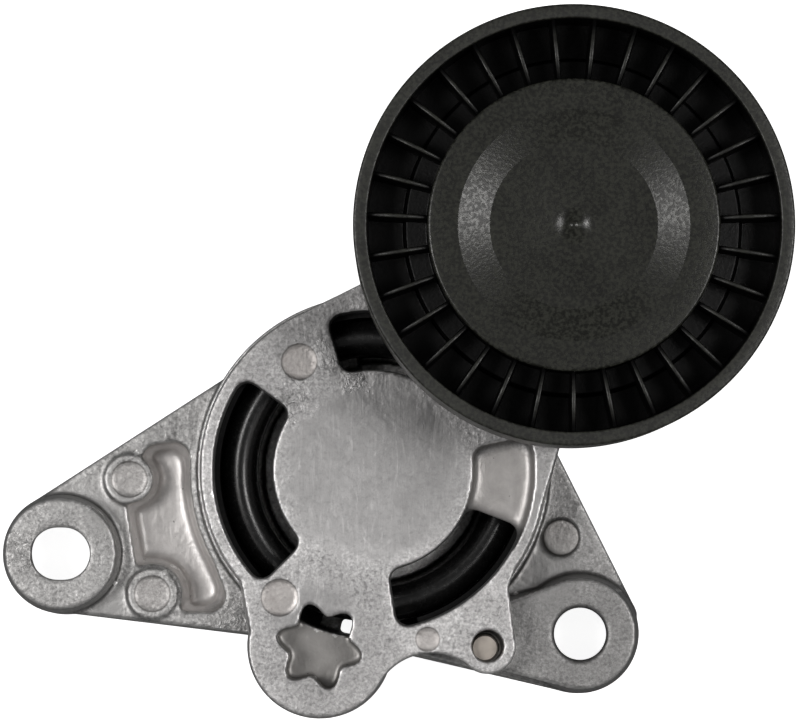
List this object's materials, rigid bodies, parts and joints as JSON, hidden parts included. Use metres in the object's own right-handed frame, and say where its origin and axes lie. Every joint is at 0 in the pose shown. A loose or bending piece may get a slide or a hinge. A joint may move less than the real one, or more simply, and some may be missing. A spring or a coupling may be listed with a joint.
{
  "type": "belt tensioner with idler pulley",
  "caption": "Automatic belt tensioner: a sprung cast arm on a two-ear cast base carries a smooth ribbed idler pulley on a ball bearing, with a wrench socket and a lock pin.",
  "frame": {"origin": "on the arm's pivot axis, in the plane of the mounting face under the ears", "axes": "+Z along the pivot axis from the mounting face to the pulley; +X from the slotted ear towards the round-hole ear side; +Y towards the pulley's side"},
  "size_m": [0.1284, 0.1142, 0.059],
  "materials": {
    "cast_base": "as-cast, shot blasted",
    "cast_arm": "as-cast, bright",
    "steel": "zinc plated",
    "bearing_steel": "ground",
    "pin_steel": "plain steel, dull",
    "black_spring": "black coating, satin",
    "black_plastic": "matt",
    "cage_plastic": "matt",
    "seal_rubber": "matt",
    "pulley_nylon": "glass-filled nylon, satin",
    "cap_plastic": "moulded, fine grain, satin"
  },
  "bodies": {
    "base": {"base_bracket": "cast_base", "pivot_bushing": "black_plastic", "thrust_washer": "steel", "wave_washer": "steel", "torsion_spring": "black_spring", "spring_sleeve": "black_plastic"},
    "arm": {"tensioner_arm": "cast_arm", "pivot_shaft": "steel", "retaining_plate": "steel", "damper_shoe": "black_plastic", "rear_dust_shield": "steel", "bearing_inner_race": "bearing_steel", "pulley_bolt": "steel", "bolt_washer": "steel"},
    "cage": {"bearing_balls": "bearing_steel", "bearing_cage": "cage_plastic"},
    "pulley_body": {"bearing_outer_race": "bearing_steel", "front_seal": "seal_rubber", "rear_seal": "seal_rubber", "pulley": "pulley_nylon", "dust_cap": "cap_plastic"},
    "pin": {"lock_pin": "pin_steel"}
  },
  "joints": [
    {"name": "arm_pivot", "type": "hinge", "parent": "base", "child": "arm", "pos_m": [0, 0, 0.02], "axis": [0, 0, 1], "range_deg": [-36, 2], "deforming": ["torsion_spring"]},
    {"name": "pulley_spin", "type": "hinge", "parent": "arm", "child": "pulley_body", "pos_m": [0.03194, 0.03847, 0.046], "axis": [0, 0, 1], "continuous": true},
    {"name": "cage_spin", "type": "hinge", "parent": "arm", "child": "cage", "pos_m": [0.03194, 0.03847, 0.045], "axis": [0, 0, 1], "continuous": true},
    {"name": "lock_pin_pull", "type": "slide", "parent": "base", "child": "pin", "axis": [0, 0, -1], "range_m": [0, 0.012]}
  ],
  "couplings": [
    {"joint": "cage_spin", "follows": "pulley_spin", "ratio": 0.6184}
  ]
}
